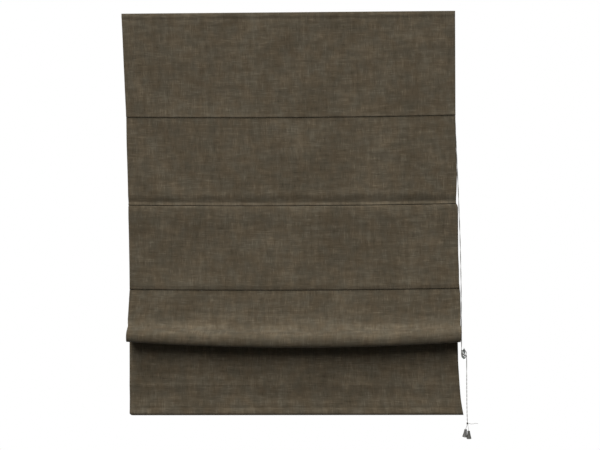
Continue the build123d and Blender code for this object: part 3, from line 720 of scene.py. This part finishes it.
def nurbs_line(route, resolution):
    """Points along the smooth line that a cord's route draws out."""
    curve = bpy.data.curves.new("route", "CURVE")
    curve.dimensions = "3D"
    spline = curve.splines.new("NURBS")
    spline.points.add(len(route) - 1)
    for point, place in zip(spline.points, route):
        point.co = (*place, 1.0)
    spline.order_u = 3
    spline.use_endpoint_u = True
    spline.resolution_u = resolution
    holder = bpy.data.objects.new("route", curve)
    mesh = bpy.data.meshes.new_from_object(holder)
    line = [vertex.co.copy() for vertex in mesh.vertices]
    bpy.data.objects.remove(holder)
    bpy.data.curves.remove(curve)
    bpy.data.meshes.remove(mesh)
    return line


# The first, darker shade is painted shade between the yarns.
cord_braid = braid("cord_braid", shade(104, 102, 98), shade(165, 163, 158), 0.0022)


def knot_line(middle, size):
    """The line of an overhand knot drawn tight."""
    line = []
    for number in range(49):
        t = 2 * math.pi * number / 48
        place = (math.sin(t) + 2 * math.sin(2 * t), math.cos(t) - 2 * math.cos(2 * t), -1.4 * math.sin(3 * t))
        line.append(Vector(middle) + Vector(place) * (size / 3))
    return line


lock_out = Vector((0.5909, -0.014, -0.0168))
cord_run = 0.00305
pulley_ease = 0.012
knot_seat = 0.0026
for side, x, y, length in (("left", -lift_line, -0.0153, 2.158), ("right", lift_line, -0.0127, 1.218)):
    orb_low, orb_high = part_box(f"cord_orb_{side}")
    knot = (x, y, orb_low.z + knot_seat)
    route = [
        knot,
        (x, y, cord_run - pulley_ease),
        (x, y, cord_run),
        (x + pulley_ease, y, cord_run),
        (lock_out.x - pulley_ease, y, cord_run),
        (lock_out.x, y, cord_run),
        (lock_out.x, y, cord_run - pulley_ease),
        (lock_out.x, y, lock_out.z),
    ]
    line = even(nurbs_line(route, 24), spacing=0.0016)
    mesh = strands_mesh(f"lift_cord_{side}_braid", [line, knot_line(knot, end_knot)], cord_radius)
    lift_cord = add(f"lift_cord_{side}_braid", mesh, cord_braid)
    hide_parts(f"lift_cord_{side}")

# Pull cord: the two lift cords twisted together, taut from the lock to the cleat, wound once round
# its stem in a figure of eight and hanging from it to the tie.
pull_route = [
    (0.5909, -0.0140, -0.0168),
    (0.5909, -0.0140, -0.0288),
    (0.6165, -0.0110, -0.6200),
    (0.6255, -0.0086, -0.9000),
    (0.6263, -0.0070, -1.1990),
    (0.6259, -0.0064, -1.2210),
    (0.6267, -0.0062, -1.2324),
    (0.6303, -0.0062, -1.2392),
    (0.6367, -0.0064, -1.2402),
    (0.6409, -0.0082, -1.2364),
    (0.6419, -0.0134, -1.2318),
    (0.6415, -0.0202, -1.2288),
    (0.6373, -0.0256, -1.2269),
    (0.6303, -0.0256, -1.2251),
    (0.6261, -0.0202, -1.2228),
    (0.6257, -0.0138, -1.2188),
    (0.6279, -0.0116, -1.2134),
    (0.6337, -0.0112, -1.2104),
    (0.6396, -0.0116, -1.2122),
    (0.6430, -0.0120, -1.2184),
    (0.6440, -0.0120, -1.2310),
    (0.6436, -0.0120, -1.4400),
    (0.6456, -0.0120, -1.4730),
]
loose_lay = 0.120
twist_lay = 0.029
twist_from = -1.300
pull_line = even(nurbs_line(pull_route, 48), spacing=0.0015)
phase = 0.0
pair = ([], [])
for number, (here, (side, up)) in enumerate(zip(pull_line, frames(pull_line))):
    if number:
        lay = twist_lay if here.z < twist_from else loose_lay
        phase += 2 * math.pi * (here - pull_line[number - 1]).length / lay
    offset = (side * math.cos(phase) + up * math.sin(phase)) * cord_radius
    pair[0].append(here + offset)
    pair[1].append(here - offset)
pull_cord = add("pull_cord_pair", strands_mesh("pull_cord_pair", pair, cord_radius), cord_braid)
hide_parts("pull_cord")

# Tie: a dark whipping of thread round the end of the pair, from which one short tail of cord sticks
# out to the side and two single cords hang down to the tassels.
tie_low, tie_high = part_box("cord_tie")
tie_radius = 0.0026
tie_turns = 4.5
tie_steps = 108
tie_middle = (tie_low + tie_high) / 2
tie_height = tie_high.z - tie_low.z
tie_line = []
for number in range(tie_steps + 1):
    share = number / tie_steps
    angle = 2 * math.pi * tie_turns * share
    reach = tie_radius * (0.55 + 0.45 * math.sin(math.pi * share) ** 0.4)
    height = tie_high.z - cord_radius - share * (tie_height - 2 * cord_radius)
    round_it = Vector((reach * math.cos(angle), reach * math.sin(angle), 0))
    tie_line.append(Vector((tie_middle.x, tie_middle.y, height)) + round_it)
# The first, darker shade is painted shade between the yarns.
dark_thread = braid("dark_thread", shade(40, 39, 36), shade(84, 82, 77), 0.0022)
tie = add("cord_tie_whipping", strands_mesh("cord_tie_whipping", [tie_line], cord_radius), dark_thread)
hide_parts("cord_tie")
tail_route = [
    (0.6480, -0.0120, -1.4770),
    (0.6529, -0.0126, -1.4770),
    (0.6604, -0.0134, -1.4788),
    (0.6684, -0.0136, -1.4774),
    (0.6759, -0.0132, -1.4758),
    (0.6829, -0.0126, -1.4776),
]
tail_line = even(nurbs_line(tail_route, 24), spacing=0.0008)
tail = add("cord_tail_braid", strands_mesh("cord_tail_braid", [tail_line], cord_radius), cord_braid)
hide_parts("cord_tail")

# Tassels: bells moulded in grey plastic, one on each of the two cords below the tie.
# The cord is threaded through the bell's top and held by a knot inside.
tassel_grey = finish(
    "tassel_grey", shade(70, 69, 66), shade(88, 87, 84), 900, gloss=(0.42, 0.58), relief=0.00005
)
# The right bell is the same grey plastic as the left; its darker finish is painted shade.
tassel_grey_painted_shade = finish(
    "tassel_grey_painted_shade", shade(50, 49, 45), shade(66, 65, 60), 900, gloss=(0.42, 0.58), relief=0.00005
)
dress(tassel_grey, "tassel_left")
dress(tassel_grey_painted_shade, "tassel_right")
straight_above = 0.0015
knot_depth = 0.00965
for side, route, top, tilt in (
    (
        "left",
        [(0.6442, -0.0116, -1.4755), (0.6442, -0.0116, -1.4855), (0.6418, -0.0112, -1.4900)],
        (0.6396, -0.0110, -1.4975),
        8.0,
    ),
    (
        "right",
        [
            (0.6468, -0.0132, -1.4775),
            (0.6468, -0.0132, -1.4845),
            (0.6474, -0.0174, -1.4890),
            (0.6479, -0.0234, -1.4935),
        ],
        (0.6480, -0.0245, -1.5006),
        -2.5,
    ),
):
    axis = Matrix.Rotation(math.radians(tilt), 3, "Y") @ Vector((0, 0, -1))
    above = Vector(top) - axis * straight_above
    below = Vector(top) + axis * knot_depth
    line = even(nurbs_line(route + [tuple(above), tuple(below)], 24), spacing=0.0008)
    mesh = strands_mesh(f"tassel_cord_{side}_braid", [line, knot_line(below, end_knot)], cord_radius)
    tassel_cord = add(f"tassel_cord_{side}_braid", mesh, cord_braid)
    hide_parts(f"tassel_cord_{side}")
    length = sum((b - a).length for a, b in zip(line, line[1:]))

# Cord cleat: two horns on a stem and a foot, moulded in one piece of clear plastic.
# It is screwed to the wall, and its thicker parts look a little grey.
clear_plastic = finish(
    "clear_plastic", shade(226, 231, 228), shade(240, 243, 241), 300, gloss=(0.04, 0.10), relief=0.00002
)
clear_tree = clear_plastic.node_tree
clear_shader = clear_tree.nodes["Principled BSDF"]
clear_shader.inputs["Transmission Weight"].default_value = 1.0
clear_shader.inputs["IOR"].default_value = 1.49
tinge = clear_tree.nodes.new("ShaderNodeVolumeAbsorption")
tinge.inputs["Color"].default_value = shade(150, 153, 150)
tinge.inputs["Density"].default_value = 400.0
clear_tree.links.new(tinge.outputs["Volume"], clear_tree.nodes["Material Output"].inputs["Volume"])
dress(clear_plastic, "cord_cleat")

# Floor: a plain pale sheet well below the blind, which keeps a soft shadow.
# It throws no light back up at the blind.
floor_height = -2.2
floor_half = 2.3
floor_mesh = bpy.data.meshes.new("floor")
floor_corners = [(-1, -1), (1, -1), (1, 1), (-1, 1)]
floor_places = [(floor_half * x, floor_half * y, floor_height) for x, y in floor_corners]
floor_mesh.from_pydata(floor_places, [], [(0, 1, 2, 3)])
floor = bpy.data.objects.new("floor", floor_mesh)
bpy.context.scene.collection.objects.link(floor)
pale_floor = bpy.data.materials.new("pale_floor")
pale_floor.use_nodes = True
pale_shader = pale_floor.node_tree.nodes["Principled BSDF"]
pale_shader.inputs["Base Color"].default_value = shade(238, 238, 236)
pale_shader.inputs["Roughness"].default_value = 0.9
floor_mesh.materials.append(pale_floor)
floor.visible_diffuse = False


# Light: two soft suns in front on the left, one above the other, a faint one low in front and another
# behind, and a little even light from all round. The surround itself is seen as white.
def seen_directly(tree):
    """1 for rays that show the background itself: from the camera, in a gloss or through something clear."""
    path = tree.nodes.new("ShaderNodeLightPath")
    total = path.outputs["Is Camera Ray"]
    for name in ("Is Glossy Ray", "Is Transmission Ray"):
        joined = tree.nodes.new("ShaderNodeMath")
        joined.operation = "MAXIMUM"
        tree.links.new(total, joined.inputs[0])
        tree.links.new(path.outputs[name], joined.inputs[1])
        total = joined.outputs[0]
    return total


world = bpy.data.worlds.new("surround")
bpy.context.scene.world = world
world.use_nodes = True
sky = world.node_tree
surround = sky.nodes["Background"]
surround.inputs["Color"].default_value = (1.0, 1.0, 1.0, 1.0)
surround.inputs["Strength"].default_value = 0.05
white = sky.nodes.new("ShaderNodeBackground")
white.inputs["Color"].default_value = (1.0, 1.0, 1.0, 1.0)
white.inputs["Strength"].default_value = 1.0
either = sky.nodes.new("ShaderNodeMixShader")
sky.links.new(seen_directly(sky), either.inputs["Fac"])
sky.links.new(surround.outputs["Background"], either.inputs[1])
sky.links.new(white.outputs["Background"], either.inputs[2])
sky.links.new(either.outputs["Shader"], sky.nodes["World Output"].inputs["Surface"])


def soft_sun(name, turn, height, spread, strength):
    """A distant soft lamp: its turn from straight in front, its height and its spread in degrees."""
    light = bpy.data.lights.new(name, "SUN")
    light.energy = strength
    light.angle = math.radians(spread)
    holder = bpy.data.objects.new(name, light)
    holder.rotation_euler = (math.radians(90 - height), 0, math.radians(turn))
    bpy.context.scene.collection.objects.link(holder)


soft_sun("key", -18, 42, 34, 2.52)
soft_sun("top", -18, 66, 18, 2.36)
soft_sun("fill", -10, 15, 60, 0.12)
soft_sun("back", 170, 25, 60, 2.8)

# Camera: level, at about three and a half metres, and square to the blind but for a slight turn.
# Its lens takes in the width of the picture at the cloth.
image_width = 600
mm_per_pixel = 3.625
camera_distance = 3.64
camera_turn = math.radians(1.1)
camera_roll = math.radians(0.264)
sight = Vector((0.0411, cloth_y, -0.7533))
camera = bpy.data.cameras.new("camera")
camera.sensor_width = 36.0
camera.lens = camera.sensor_width * camera_distance / (image_width * mm_per_pixel / 1000)
eye = bpy.data.objects.new("camera", camera)
eye.location = sight + camera_distance * Vector((math.sin(camera_turn), -math.cos(camera_turn), 0))
eye.rotation_euler = (math.radians(90), camera_roll, camera_turn)
bpy.context.scene.collection.objects.link(eye)
bpy.context.scene.camera = eye
bpy.context.scene.view_settings.view_transform = "Standard"
